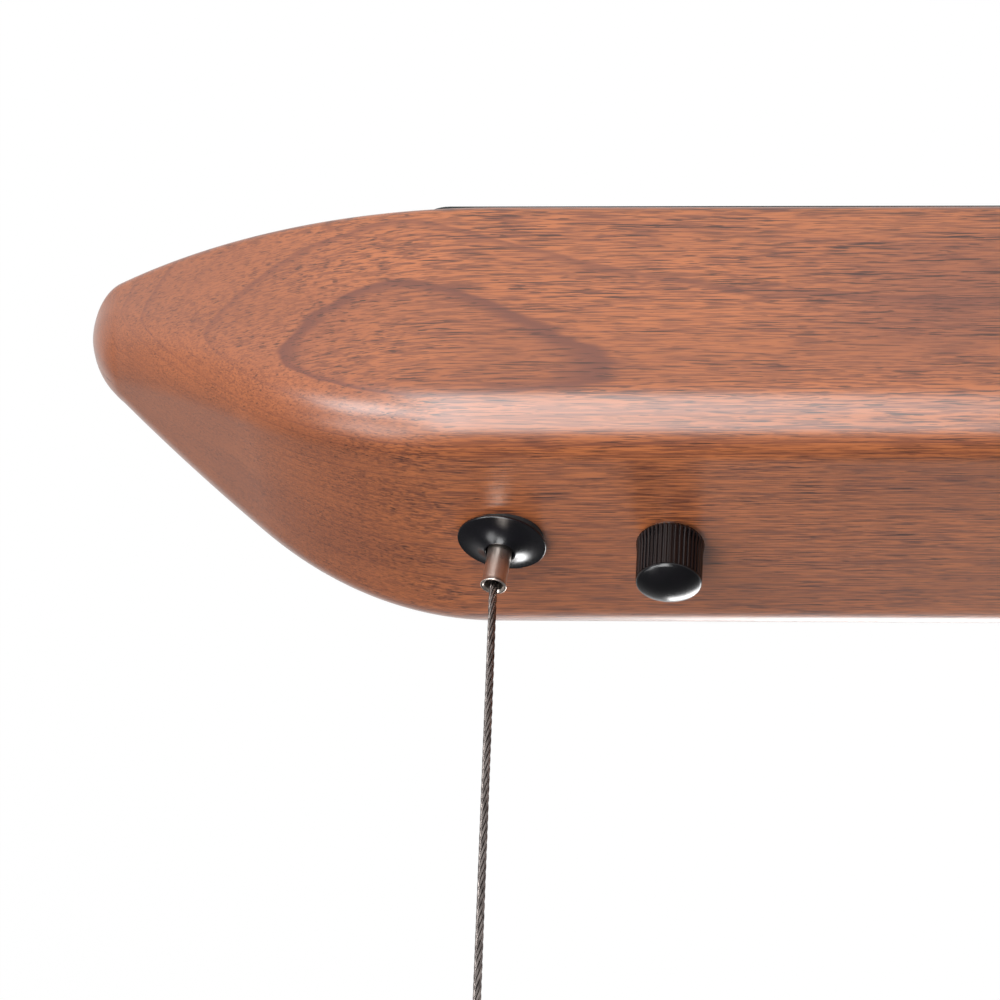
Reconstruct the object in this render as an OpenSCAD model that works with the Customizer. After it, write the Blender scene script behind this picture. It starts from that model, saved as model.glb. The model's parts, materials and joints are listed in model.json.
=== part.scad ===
// Linear pendant lamp: a hollow walnut bar with boat-shaped ends, hung by two steel cables.
// Millimetres, +Z up, X along the bar. The origin is on the ceiling, midway between the two ceiling cups.

/* [Body] */

// Length of the walnut bar, tip to tip
body_len = 600; // [480:1:1200]
// Width of the bar
body_w = 68; // [62:0.5:80]
// Height of the bar, rim to top face
body_h = 50; // [48:0.5:60]
// Radius of the two long top edges
edge_r = 10; // [4:0.5:12]
// Radius of the small round along the rim
rim_r = 2; // [0.5:0.1:3]
// Radius of the plan arcs that draw each end in
bow_r = 124; // [100:1:160]
// Radius of the tip in plan
nose_r = 14; // [10:0.5:16]
// Height at which the raked end would meet the tip
nose_h = 12.4; // [10:0.1:18]
// Slope of the raked end, in degrees
rake = 36; // [30:0.5:42]
// Radius that blends the raked end into the top face
rake_r = 72; // [50:1:90]
// Distance from the ceiling to the top face
drop = 135; // [125:1:160]

/* [Suspension] */

// Distance from the tip to the gripper's axis
grip_in = 79; // [76:0.5:90]
// Outward lean of each gripper, in degrees
grip_tilt = 6; // [0:0.5:8]
// Diameter of the steel cable
cable_d = 1.5; // [1:0.1:1.8]
// Lean of each cable towards the middle, in degrees
cable_lean = 1.2; // [0:0.1:2.4]
// Diameter of the trumpet flange
flange_d = 16.2; // [15.6:0.1:20]
// Height of the trumpet flange
flange_h = 2.6; // [2.2:0.1:4]
// Outer diameter of the flange's neck
neck_d = 5.8; // [5.6:0.1:7]
// Outer diameter of the release plunger
plunger_d = 4.4; // [4:0.05:4.6]
// Bore of the release plunger
plunger_bore = 3.4; // [3.2:0.05:3.6]
// Diameter of the lip at the plunger's mouth
plunger_lip = 4.75; // [4.65:0.05:5]
// Length of plunger that shows above the flange
plunger_out = 7.5; // [5:0.1:10]

/* [Dimmer] */

// Distance from the gripper's axis to the knob's axis
knob_gap = 30.4; // [28:0.1:60]
// Diameter of the knob's ribbed side
knob_d = 12; // [11.8:0.1:16]
// Height of the ribbed part of the knob
knob_h = 9.5; // [7:0.1:12]
// Height of the knob's smooth crown
crown_h = 1.8; // [1:0.1:2.5]
// Number of ribs round the knob
rib_count = 42; // [36:1:64]

/* [Light] */

// Width of the light channel
tray_w = 40; // [36:0.5:42]
// Depth of the light channel inside the bar
tray_h = 12; // [10:0.5:14]
// Number of light-emitting chips
chip_count = 36; // [12:2:60]
// Length of the driver's case
driver_len = 120; // [100:1:130]
// Width of the driver's case
driver_w = 34; // [30:0.5:38]

/* [Hidden] */

$fn = 64;

// Clearances: pressed faces, seated faces, running fits and screws in plain holes
press = 0.02;
gap = 0.05;
run = 0.07;
loose = 0.2;

// Bar
zf = -drop;
zr = zf - body_h;
half_w = body_w / 2;
wall = 11;
top_t = 12;
cav_half = body_len / 2 - 68;
cav_r = 8;
plan_c = nose_r + sqrt(pow(bow_r - nose_r, 2) - pow(bow_r - half_w, 2));
plan_t = nose_r + nose_r * (nose_r - plan_c) / (bow_r - nose_r);
tip_r = 14;
tip_flat = 0.06;
under_r = 6;
rake_k = (body_h - nose_h) / tan(rake);
rake_t = rake_r * tan(rake / 2);
rake_0 = rake_k - rake_t * cos(rake);
rake_1 = rake_k + rake_t;
tip_z = nose_h + tip_r * tan(rake) - tip_r / cos(rake);
tip_s = tip_r - tip_r * sin(rake);
end_steps = 21;
rim_steps = 4;
edge_steps = 8;

// Ceiling cups, with heights from the ceiling
base_t = 2.5;
boss_r = 7.8;
boss_h = 9;
mount_r = 2.25;
mount_head_r = 4.6;
mount_head_h = 4.5;
cup_r = 11;
cup_h = 26;
cup_round = 3.5;
ball_r = 3;
ball_z = -19;
cup_bore = 6.4;
cup_mouth = 1.9;

// Grippers, with heights along their leaning axis from the top face
grip_x = body_len / 2 - grip_in;
hole_r = 4.6;
barrel_r = 4.5;
barrel_len = 27;
head_h = 0.65;
rim_t = 0.5;
lift = flange_d / 2 * tan(grip_tilt) + press;
flange_top = lift + flange_h;
mouth = flange_top + plunger_out;
neck_bore = neck_d / 2 - 0.25;
flange_reach = flange_d / 2 - 0.1;
flange_arc = (pow(flange_reach - neck_d / 2, 2) + pow(flange_h - rim_t, 2)) / (2 * (flange_h - rim_t));
seat_r = flange_d / 2 - 0.7;
plunger_r = plunger_d / 2;
guide_r = plunger_r + run;
clamp_z = -10;
clamp_r = 1;
clamp_orbit = cable_d / 2 + 1.1;
cone_z = [-8.1, -13.6];
cone_r = clamp_orbit + clamp_r - 0.12;
chamber_r = 3.5;
foot_z = [-8.95, -8.2];
carrier_z = [-13, -11.05];
carrier_r = 2.8;
plug_h = 4;
washer_r = 8;
washer_t = 1;
spot_r = washer_r + 0.4;
grip_t = (top_t - spot_r * sin(grip_tilt)) / cos(grip_tilt);
nut_h = 4;
nut_across = 13;
spring_turns = 6;
spring_r = 2.5;
spring_wire = 0.25;
spring_top = carrier_z[0] - gap;
spring_len = barrel_len - plug_h - gap + spring_top;

// Cables: straight up each gripper, a short bend at its mouth, then straight to the ball in the cup
tail = 23;
bend_steps = 4;
bend_len = 4;
function lean_dir(a) = [sin(a), 0, cos(a)];
function on_axis(h) = [grip_x, 0, zf] + h * lean_dir(grip_tilt);
function bend_point(i) =
  i == 0 ? on_axis(mouth - bend_len / 2)
  : bend_point(i - 1)
    + bend_len / bend_steps * lean_dir(grip_tilt - (grip_tilt + cable_lean) * (i - 0.5) / bend_steps);
bend_end = bend_point(bend_steps);
ball_x = bend_end[0] - (ball_z - bend_end[2]) * tan(cable_lean);
cable_end = [ball_x, 0, ball_z] + ball_r / 2 * lean_dir(-cable_lean);
cable_route = concat(
  [on_axis(clamp_z - tail), on_axis(clamp_z)],
  [for (i = [0:bend_steps]) bend_point(i)],
  [cable_end]
);

// Dimmer, with heights from the top face
knob_x = grip_x - knob_gap;
knob_foot = 0.5;
foot_round = 1.1;
flare_r = knob_d / 2 + 0.2;
flare_z = knob_foot + foot_round;
flare_top = flare_z + 1.8;
rib_root = knob_d / 2 - 0.28;
ring_h = 0.4;
shaft_r = 3;
shaft_flat = 1.5;
shaft_top = knob_foot + knob_h - 0.5;
flat_z = 3.3;
bush_r = 3.5;
bush_top = 2;
dial_hole = bush_r + 0.1;
skin_t = 5;
pocket_r = 12;
can_r = 8.3;
can_t = 0.6;
can_z = -13.5;
plate_t = 2;
plate_z = -skin_t - gap - plate_t;
collar_z = plate_z - gap - 1.1;
wafer_t = 1.4;
wafer_z = can_z + can_t + gap;
ear_w = 12;
ear_y = 10.2;
tag_pitch = 4.4;
tag_w = 1.2;
wiper_z = -10.6;
spindle_r = 2;

// Supply cord gland, with heights from the top face
gland_r = 9;
gland_neck = 6.2;
gland_top = 7;
gland_thread = 5;
gland_bore = 4;
gland_low = -19;
cord_r = 2.75;
bush_lip = 1.2;

// Light channel, with heights from the rim
tray_t = 1.6;
tray_half = body_len / 2 - 74;
lip_half = body_len / 2 - 63;
lip_w = body_w - 4;
lip_t = 0.8;
lip_r = 6;
tray_in = tray_w / 2 - tray_t;
end_t = 1.5;
screw_x = [60, 190];
screw_y = 27;
screw_r = 1.6;
screw_len = 12;
screw_head_r = 2.9;
screw_head_h = 1.35;
board_w = 24;
board_t = 1.6;
board_in = 6;
board_z = tray_h - tray_t - gap - board_t;
chip = [3.5, 2.8, 0.9];
chip_y = 6;
chip_in = 12;
diffuser_h = 6.3;
diffuser_t = [1.4, 2];

// Driver and terminal block, with heights from the top face
driver_end = -30;
driver_x = driver_end - driver_len;
driver_top = top_t + 2.6;
driver_h = 19;
driver_t = 2;
foot_t = 2.5;
foot_w = 16;
foot_out = 8;
lid_t = 1.6;
lid_z = -driver_top - driver_h;
deck_z = lid_z + lid_t + 0.1;
deck_t = 1.6;
parts_z = deck_z + deck_t + gap;
lead_r = 1.4;
lead_hole = 1.6;
block_x = 24;
block = [32, 18, 15.9];
block_foot_w = 12;
block_pitch = 10;
block_row = 4.5;
clamp_screw_r = 1.76;
clamp_screw_h = 5.45;
fixing_r = 1.5;
fixing_head_r = 2.8;
fixing_head_h = 1.5;
fixing_len = 10;
fixing_places = [
  driver_x - foot_out / 2, driver_end + foot_out / 2,
  block_x - foot_out / 2, block_x + block[0] + foot_out / 2
];

// The coil's bobbin and core, and each capacitor's place, radius and height
coil = [20, 18, 13];
coil_core = [26, 12, 11];
caps = [[18, 0, 5, 14], [90, 4, 4, 12], [102, -4, 4, 12]];

// The leads' routes, from the middle of the top face
lead_in = 0.2;
mains_route = [
  [24, -6, -24], [19, -6, -24], [10, -6.5, -26], [0, -7, -28], [-14, -6, -24], [driver_end + lead_in, -6, -24]
];
dimmer_route = [
  [driver_end + lead_in, 8, -22], [-10, 10, -22], [30, 15, -23], [90, 15, -23], [150, 11, -22],
  [170, 5, -18], [178, 2, -16.5]
];
led_drop = driver_x - 20;
led_hole = [led_drop, 2.2];
led_route = [
  [driver_x - lead_in, 0, -24], [driver_x - 10, 0, -25], [driver_x - 18, 0, -30],
  [led_drop, 0, -36], [led_drop, 0, -39.5]
];

// Half width, top and underside of the bar at a distance s from its tip
function half_width(s) =
  s < plan_t ? sqrt(max(0, nose_r * nose_r - pow(nose_r - s, 2)))
  : s < plan_c ? half_w - bow_r + sqrt(bow_r * bow_r - pow(plan_c - s, 2))
  : half_w;

function height_at(s) =
  s < tip_s ? tip_z + sqrt(max(0, tip_r * tip_r - pow(tip_r - s, 2)))
  : s < rake_0 ? nose_h + s * tan(rake)
  : s < rake_1 ? body_h - rake_r + sqrt(rake_r * rake_r - pow(rake_1 - s, 2))
  : body_h;

function under_at(s) = s < under_r ? under_r - sqrt(max(0, under_r * under_r - pow(under_r - s, 2))) : 0;

function arc(cy, cz, r, a0, a1, n) = [
  for (i = [0:n]) let (a = a0 + (a1 - a0) * i / n) [cy + r * cos(a), cz + r * sin(a)]
];

function section(s) =
  let (w = half_width(s), h = height_at(s), u = under_at(s))
  let (ro = min(edge_r, 0.9 * w, 0.6 * (h - u)), rl = min(rim_r, 0.5 * w, 0.3 * (h - u)))
  concat(
    arc(w - rl, u + rl, rl, -90, 0, rim_steps),
    arc(w - ro, h - ro, ro, 0, 90, edge_steps),
    arc(ro - w, h - ro, ro, 90, 180, edge_steps),
    arc(rl - w, u + rl, rl, 180, 270, rim_steps)
  );

stations = [for (i = [0:end_steps]) max(tip_flat, plan_c * (1 - cos(90 * i / end_steps)))];
rings = concat(
  [for (s = stations) [for (p = section(s)) [s - body_len / 2, p[0], p[1] + zr]]],
  [for (i = [end_steps:-1:0]) [for (p = section(stations[i])) [body_len / 2 - stations[i], p[0], p[1] + zr]]]
);

// A closed skin over a list of rings that all have the same number of points
function skin(n, m) =
  concat(
    [[for (j = [0:m - 1]) j]],
    [for (i = [0:n - 2]) for (j = [0:m - 1]) [i * m + j, (i + 1) * m + j, (i + 1) * m + (j + 1) % m]],
    [for (i = [0:n - 2]) for (j = [0:m - 1]) [i * m + j, (i + 1) * m + (j + 1) % m, i * m + (j + 1) % m]],
    [[for (j = [m - 1:-1:0]) (n - 1) * m + j]]
  );

module loft(r) {
  m = len(r[0]);
  polyhedron(points = [for (ring = r) for (p = ring) p], faces = skin(len(r), m), convexity = 6);
}

function unit(v) = v / norm(v);
function along(p, i) = unit(p[min(i + 1, len(p) - 1)] - p[max(i - 1, 0)]);
function tube_rings(p, r, sides, up) = [
  for (i = [0:len(p) - 1])
    let (t = along(p, i), n = unit(cross(up, t)), b = cross(t, n))
    [for (k = [0:sides - 1]) p[i] + r * (cos(360 * k / sides) * n + sin(360 * k / sides) * b)]
];

function blend(a, b, c, d, u) =
  0.5 * (2 * b + (c - a) * u + (2 * a - 5 * b + 4 * c - d) * u * u + (3 * b - a - 3 * c + d) * u * u * u);
function smooth(p, n) = concat(
  [
    for (i = [0:len(p) - 2]) for (k = [0:n - 1])
      blend(p[max(i - 1, 0)], p[i], p[i + 1], p[min(i + 2, len(p) - 1)], k / n)
  ],
  [p[len(p) - 1]]
);

spring_path = [
  for (i = [0:8 * spring_turns])
    [
      spring_r * cos(45 * i), spring_r * sin(45 * i),
      -spring_wire - (spring_len - 2 * spring_wire) * i / (8 * spring_turns)
    ]
];
spring_gaps = [for (i = [0:8 * spring_turns - 8]) norm(spring_path[i + 8] - spring_path[i]) - 2 * spring_wire];
echo(least_spring_gap = min(spring_gaps));

module slab(len_x, len_y, h, r) {
  linear_extrude(h) {
    square([len_x - 2 * r, len_y], center = true);
    square([len_x, len_y - 2 * r], center = true);
    for (i = [-1, 1], j = [-1, 1]) translate([i * (len_x / 2 - r), j * (len_y / 2 - r)]) circle(r);
  }
}

module rod(r, z0, z1) { translate([0, 0, z0]) cylinder(r = r, h = z1 - z0); }

module ring(r_out, r_in, z0, z1) {
  difference() {
    rod(r_out, z0, z1);
    rod(r_in, z0 - 1, z1 + 1);
  }
}

module hex_nut(across, r_in, z0, z1) {
  difference() {
    translate([0, 0, z0]) cylinder(r = across / sqrt(3), h = z1 - z0, $fn = 6);
    rod(r_in, z0 - 1, z1 + 1);
  }
}

// A block from x0 that is centred on y = 0
module block_at(x0, z0, size) { translate([x0, -size[1] / 2, z0]) cube(size); }

module at_grip(side) { translate([side * grip_x, 0, zf]) rotate([0, side * grip_tilt, 0]) children(); }
module at_cup(side) { translate([side * ball_x, 0, 0]) children(); }
module at_knob() { translate([knob_x, 0, zf]) children(); }
module at_face() { translate([0, 0, zf]) children(); }
module at_rim() { translate([0, 0, zr]) children(); }
module for_side(side) { mirror([side < 0 ? 1 : 0, 0, 0]) children(); }

module tray_screw_places() {
  for (i = [-1, 1], x = screw_x, j = [-1, 1]) translate([i * x, j * screw_y, 0]) children();
}

module terminal_places() {
  for (i = [-1:1], j = [-1, 1])
    translate([block_x + block[0] / 2 + i * block_pitch, j * block_row, 0]) children();
}

// Walnut bar

module walnut_body() {
  color("sienna") difference() {
    loft(rings);
    translate([0, 0, zr - 1]) slab(2 * cav_half, body_w - 2 * wall, body_h - top_t + 1, cav_r);
    for (i = [-1, 1]) at_grip(i) {
      rod(hole_r, -top_t - 2, lift + 1);
      rod(spot_r, -top_t - 2, -grip_t);
    }
    at_knob() rod(pocket_r, -top_t - 1, -skin_t);
    at_knob() rod(dial_hole, -top_t - 1, 1);
    at_face() rod(gland_thread + 0.1, -top_t - 1, 1);
    at_rim() tray_screw_places() rod(screw_r + press, -1, screw_len + 1);
    for (x = fixing_places) at_face() translate([x, 0, 0]) rod(fixing_r + press, -top_t - 1, 8 - top_t);
  }
}

// Ceiling cups

module ceiling_base(side) {
  color("dimgray") at_cup(side) difference() {
    union() {
      rod(cup_r, -base_t, 0);
      rod(boss_r, -boss_h, -1);
    }
    rod(mount_r, -boss_h - 1, 1);
    rod(mount_head_r, -boss_h - 1, -mount_head_h);
  }
}

module ceiling_cap(side) {
  low = cup_round - cup_h;
  neck = cup_bore - cup_mouth;
  seat = ball_z - sqrt(2) * (ball_r + gap) + cup_mouth;
  color("black") at_cup(side) rotate_extrude() difference() {
    union() {
      translate([0, low]) square([cup_r, -base_t - gap - low]);
      translate([0, -cup_h]) square([cup_r - cup_round, cup_round + 0.5]);
      translate([cup_r - cup_round, low]) circle(cup_round);
    }
    translate([-2 * cup_r, -cup_h - 5]) square([2 * cup_r, cup_h + 5]);
    translate([0, -boss_h - 1.5]) square([boss_r + gap, boss_h]);
    polygon([
      [0, -boss_h], [cup_bore, -boss_h], [cup_bore, seat + neck], [cup_mouth, seat],
      [cup_mouth, seat - 1], [2 * cup_mouth, -cup_h - 1], [0, -cup_h - 1]
    ]);
  }
}

module ceiling_base_left() { ceiling_base(-1); }
module ceiling_base_right() { ceiling_base(1); }
module ceiling_cap_left() { ceiling_cap(-1); }
module ceiling_cap_right() { ceiling_cap(1); }

// Cables and their swaged ball ends

module cable(side) { color("silver") for_side(side) loft(tube_rings(cable_route, cable_d / 2, 8, [0, 1, 0])); }

module cable_ball(side) {
  color("gainsboro") translate([side * ball_x, 0, ball_z]) rotate([0, -side * cable_lean, 0]) difference() {
    sphere(ball_r);
    rod(cable_d / 2 + press, -ball_r - 1, ball_r / 2 + gap);
  }
}

module cable_left() { cable(-1); }
module cable_right() { cable(1); }
module cable_ball_left() { cable_ball(-1); }
module cable_ball_right() { cable_ball(1); }

// Cable grippers

module gripper_flange(side) {
  color("black") at_grip(side) rotate_extrude() difference() {
    translate([0, lift]) square([flange_d / 2, flange_h]);
    translate([flange_reach, lift + rim_t + flange_arc]) circle(flange_arc);
    square([neck_bore, 2 * flange_top]);
    square([barrel_r + gap, lift + head_h + gap]);
  }
}

// A wedge that fills the space between the bar and the leaning flange
module gripper_seat(side) {
  color("black") difference() {
    at_grip(side) ring(seat_r, barrel_r + gap, -2 * lift - 1, lift - press);
    translate([side * grip_x, 0, zf + press - flange_d]) cube(2 * flange_d, center = true);
  }
}

module gripper_barrel(side) {
  color("dimgray") at_grip(side) rotate_extrude() difference() {
    translate([0, -barrel_len]) square([barrel_r, barrel_len + lift + head_h]);
    translate([0, -barrel_len - 1]) square([guide_r, 2 * barrel_len]);
    polygon([
      [0, cone_z[0]], [cone_r, cone_z[0]], [chamber_r, cone_z[1]],
      [chamber_r, -barrel_len - 1], [0, -barrel_len - 1]
    ]);
  }
}

module gripper_washer(side) {
  color("silver") at_grip(side) ring(washer_r, barrel_r + gap, -grip_t - gap - washer_t, -grip_t - gap);
}

module gripper_nut(side) {
  top = -grip_t - washer_t - 2 * gap;
  color("goldenrod") at_grip(side) hex_nut(nut_across, barrel_r + gap, top - nut_h, top);
}

module gripper_plug(side) {
  color("goldenrod") at_grip(side) ring(chamber_r - gap, cup_mouth, -barrel_len, plug_h - barrel_len);
}

module gripper_spring(side) {
  color("silver") at_grip(side) translate([0, 0, spring_top])
    loft(tube_rings(spring_path, spring_wire, 6, [0, 0, 1]));
}

module plunger(side) {
  lip = plunger_lip / 2;
  edge = 0.2;
  color("silver") at_grip(side) rotate_extrude() difference() {
    union() {
      translate([0, foot_z[0]]) square([plunger_r, mouth - 2 * edge - foot_z[0]]);
      translate([0, foot_z[0]]) square([cone_r - 0.08, foot_z[1] - foot_z[0]]);
      polygon([
        [0, mouth - 1], [plunger_r, mouth - 1], [lip, mouth - 2 * edge],
        [lip, mouth - edge], [lip - edge, mouth], [0, mouth]
      ]);
    }
    translate([0, foot_z[0] - 1]) square([plunger_bore / 2, mouth - foot_z[0] + 2]);
  }
}

module clamp_balls(side) {
  color("gainsboro") at_grip(side) for (i = [0:2])
    rotate([0, 0, 120 * i + 60]) translate([clamp_orbit, 0, clamp_z]) sphere(clamp_r, $fn = 24);
}

module ball_carrier(side) {
  color("silver") at_grip(side) ring(carrier_r, plunger_bore / 2, carrier_z[0], carrier_z[1]);
}

module gripper_flange_left() { gripper_flange(-1); }
module gripper_flange_right() { gripper_flange(1); }
module gripper_seat_left() { gripper_seat(-1); }
module gripper_seat_right() { gripper_seat(1); }
module gripper_barrel_left() { gripper_barrel(-1); }
module gripper_barrel_right() { gripper_barrel(1); }
module gripper_washer_left() { gripper_washer(-1); }
module gripper_washer_right() { gripper_washer(1); }
module gripper_nut_left() { gripper_nut(-1); }
module gripper_nut_right() { gripper_nut(1); }
module gripper_plug_left() { gripper_plug(-1); }
module gripper_plug_right() { gripper_plug(1); }
module gripper_spring_left() { gripper_spring(-1); }
module gripper_spring_right() { gripper_spring(1); }
module plunger_left() { plunger(-1); }
module plunger_right() { plunger(1); }
module clamp_balls_left() { clamp_balls(-1); }
module clamp_balls_right() { clamp_balls(1); }
module ball_carrier_left() { ball_carrier(-1); }
module ball_carrier_right() { ball_carrier(1); }

// Dimmer

module rib_outline() {
  polygon([
    for (i = [0:4 * rib_count - 1])
      let (a = 90 * i / rib_count, q = i % 4, e = q == 0 || q == 1 ? flare_r : rib_root)
      [e * cos(a), e * sin(a)]
  ]);
}

module knob() {
  top = knob_foot + knob_h;
  crown = knob_d / 2 - 0.15;
  crown_arc = (pow(crown, 2) + pow(crown_h, 2)) / (2 * crown_h);
  color("black") at_knob() difference() {
    union() {
      intersection() {
        translate([0, 0, knob_foot]) linear_extrude(knob_h - ring_h + 0.1) rib_outline();
        rotate_extrude() {
          square([flare_r - foot_round, top]);
          translate([flare_r - foot_round, flare_z]) circle(foot_round);
          polygon([[0, flare_z], [flare_r, flare_z], [knob_d / 2, flare_top], [knob_d / 2, top], [0, top]]);
        }
      }
      rod(knob_d / 2 - 0.05, top - ring_h, top);
      intersection() {
        rod(crown, top - 0.1, top + crown_h + 0.1);
        translate([0, 0, top + crown_h - crown_arc]) sphere(crown_arc);
      }
    }
    rod(5, -1, 3);
    difference() {
      rod(shaft_r + press, -1, shaft_top + 0.1);
      translate([shaft_flat + press, -4, flat_z + 0.1]) cube([4, 8, shaft_top]);
    }
  }
}

module dimmer_shaft() {
  color("gainsboro") at_knob() difference() {
    union() {
      rod(shaft_r, collar_z, shaft_top);
      rod(shaft_r + 1, collar_z, collar_z + 0.9);
      rod(spindle_r, wiper_z - 0.3, collar_z + 0.3);
    }
    translate([shaft_flat, -4, flat_z]) cube([4, 8, shaft_top]);
  }
}

module dimmer_wiper() { color("goldenrod") at_knob() ring(6, spindle_r + press, wiper_z, wiper_z + 1); }

module dimmer_bushing() {
  color("silver") at_knob() difference() {
    union() {
      rod(can_r, plate_z, plate_z + plate_t);
      rod(bush_r, plate_z, bush_top);
    }
    rod(shaft_r + run, plate_z - 1, bush_top + 1);
  }
}

module dimmer_can() {
  color("silver") at_knob() difference() {
    rod(can_r, can_z, plate_z - gap);
    rod(can_r - can_t, can_z + can_t, plate_z + 1);
    translate([-ear_w / 2 - loose, -pocket_r, can_z + can_t]) cube([ear_w + 2 * loose, 8, wafer_t + 0.3]);
  }
}

module dimmer_wafer() {
  color("saddlebrown") at_knob() difference() {
    union() {
      rod(can_r - can_t - 2 * gap, wafer_z, wafer_z + wafer_t);
      translate([-ear_w / 2, -ear_y, wafer_z]) cube([ear_w, ear_y - 4, wafer_t]);
    }
    rod(spindle_r + 0.4, wafer_z - 1, wafer_z + wafer_t + 1);
  }
}

module dimmer_tags() {
  color("gold") at_knob() for (i = [-1:1])
    translate([tag_pitch * i - tag_w / 2, -ear_y, wafer_z - gap - 4.1]) cube([tag_w, 0.5, 4.1]);
}

module dimmer_nut() { color("silver") at_knob() ring(4.65, bush_r + gap, 0.5, 1.9); }
module dimmer_washer() { color("silver") at_knob() ring(4.65, bush_r + gap, gap, 0.45); }

// Supply cord gland

module gland_body() {
  color("black") at_face() rotate_extrude() difference() {
    union() {
      translate([0, press]) square([gland_r, 1.2]);
      polygon([
        [0, press], [gland_r, press + 1.2], [gland_neck, 4], [gland_neck, gland_top], [0, gland_top]
      ]);
      translate([0, gland_low]) square([gland_thread, 1 - gland_low]);
    }
    translate([0, gland_low - 1]) square([gland_bore, gland_top - gland_low + 2]);
  }
}

module gland_bush() {
  color("black") at_face() difference() {
    union() {
      rod(gland_bore - press, gland_low, gland_top + 0.5);
      rod(gland_neck - 1, gland_top + gap, gland_top + gap + bush_lip);
    }
    rod(cord_r, gland_low - 1, gland_top + bush_lip + 1);
  }
}

module gland_nut() { color("dimgray") at_face() hex_nut(15, gland_thread + gap, -top_t - 4.1, -top_t - 0.1); }

// Light channel

module light_tray() {
  color("dimgray") at_rim() difference() {
    union() {
      translate([0, 0, -lip_t]) slab(2 * lip_half, lip_w, lip_t - press, lip_r);
      block_at(-tray_half, -lip_t, [2 * tray_half, tray_w, tray_h + lip_t]);
    }
    block_at(-tray_half - 1, gap, [2 * tray_half + 2, 2 * tray_in, tray_h - tray_t - gap]);
    block_at(end_t - tray_half, -lip_t - 1, [2 * (tray_half - end_t), 2 * tray_in, lip_t + 3]);
    tray_screw_places() rod(screw_r + loose, -lip_t - 1, 1);
    translate([led_hole[0], 0, 0]) rod(led_hole[1], board_z, tray_h + 1);
  }
}

module tray_end(side) {
  size = [end_t - gap, 2 * (tray_in - gap), tray_h - tray_t - 3 * gap];
  color("dimgray") at_rim() block_at(side > 0 ? tray_half - size[0] : -tray_half, 2 * gap, size);
}

module tray_end_left() { tray_end(-1); }
module tray_end_right() { tray_end(1); }

module led_board() {
  color("white") at_rim() difference() {
    block_at(board_in - tray_half, board_z, [2 * (tray_half - board_in), board_w, board_t]);
    translate([led_hole[0], 0, 0]) rod(led_hole[1], board_z - 1, tray_h);
  }
}

module led_chips() {
  pitch = 2 * (tray_half - chip_in) / (chip_count - 1);
  color("khaki") at_rim() translate([0, chip_y, 0]) for (i = [0:chip_count - 1])
    block_at(chip_in - tray_half + i * pitch - chip[0] / 2, board_z - gap - chip[2], chip);
}

module diffuser() {
  half = tray_half - end_t - gap;
  wide = 2 * (tray_in - gap);
  color("white") at_rim() difference() {
    block_at(-half, -lip_t, [2 * half, wide, diffuser_h]);
    block_at(-half - 1, diffuser_t[1] - lip_t, [2 * half + 2, wide - 2 * diffuser_t[0], diffuser_h]);
  }
}

module tray_screws() {
  low = -lip_t - gap - screw_head_h;
  color("silver") at_rim() tray_screw_places() {
    rod(screw_head_r, low, low + screw_head_h);
    rod(screw_r, low, screw_len);
  }
}

// Driver and wiring

module driver_case() {
  inner = [driver_len - 2 * driver_t, driver_w - 2 * driver_t];
  color("whitesmoke") at_face() difference() {
    union() {
      block_at(driver_x, lid_z, [driver_len, driver_w, driver_h]);
      block_at(driver_x - foot_out, -driver_top, [driver_len + 2 * foot_out, foot_w, foot_t]);
    }
    block_at(driver_x + driver_t, lid_z - 1, [inner[0], inner[1], driver_h + 0.4]);
    for (x = fixing_places) translate([x, 0, 0]) rod(fixing_r + loose, -driver_top - 5, -top_t + 3);
    for (p = [mains_route[5], dimmer_route[0], led_route[0]])
      translate([p[0] < driver_x ? driver_x - 1 : driver_end - driver_t - 1, p[1], p[2]])
        rotate([0, 90, 0]) cylinder(r = lead_hole, h = driver_t + 2);
  }
}

module driver_lid() {
  inner = [driver_len - 2 * driver_t - 0.2, driver_w - 2 * driver_t - 0.2];
  color("lightgray") at_face() block_at(driver_x + driver_t + 0.1, lid_z, [inner[0], inner[1], lid_t]);
}

module driver_board() {
  edge = driver_t + 1;
  color("darkgreen") at_face()
    block_at(driver_x + edge, deck_z, [driver_len - 2 * edge, driver_w - 2 * edge, deck_t]);
}

module driver_coil() {
  color("gold") at_face() translate([driver_x + driver_len / 2, 0, 0]) {
    block_at(-coil[0] / 2, parts_z, coil);
    block_at(-coil_core[0] / 2, parts_z, coil_core);
  }
}

module driver_caps() {
  color("black") at_face() for (c = caps)
    translate([driver_x + c[0], c[1], 0]) rod(c[2], parts_z, parts_z + c[3]);
}

module fixing_screws() {
  low = -driver_top - gap - fixing_head_h;
  color("silver") at_face() for (x = fixing_places) translate([x, 0, 0]) {
    rod(fixing_head_r, low, low + fixing_head_h);
    rod(fixing_r, low, low + fixing_head_h + fixing_len);
  }
}

module terminal_block() {
  color("ivory") at_face() difference() {
    union() {
      block_at(block_x, -top_t - 0.1 - block[2], block);
      block_at(block_x - foot_out, -driver_top, [block[0] + 2 * foot_out, block_foot_w, foot_t]);
    }
    for (x = fixing_places) translate([x, 0, 0]) rod(fixing_r + loose, -driver_top - 5, -top_t + 3);
    terminal_places() rod(clamp_screw_r + 0.04, -top_t - block[2] - 2, -top_t - 10);
  }
}

module terminal_screws() {
  low = 0.4 - top_t - block[2];
  color("silver") at_face() terminal_places() rod(clamp_screw_r, low, low + clamp_screw_h);
}

module lead(route, up) { at_face() loft(tube_rings(smooth(route, 4), lead_r, 8, up)); }
module mains_lead() { color("red") lead(mains_route, [0, 1, 0]); }
module dimmer_lead() { color("gray") lead(dimmer_route, [0, 0, 1]); }
module led_lead() { color("black") lead(led_route, [0, 1, 0]); }

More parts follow.
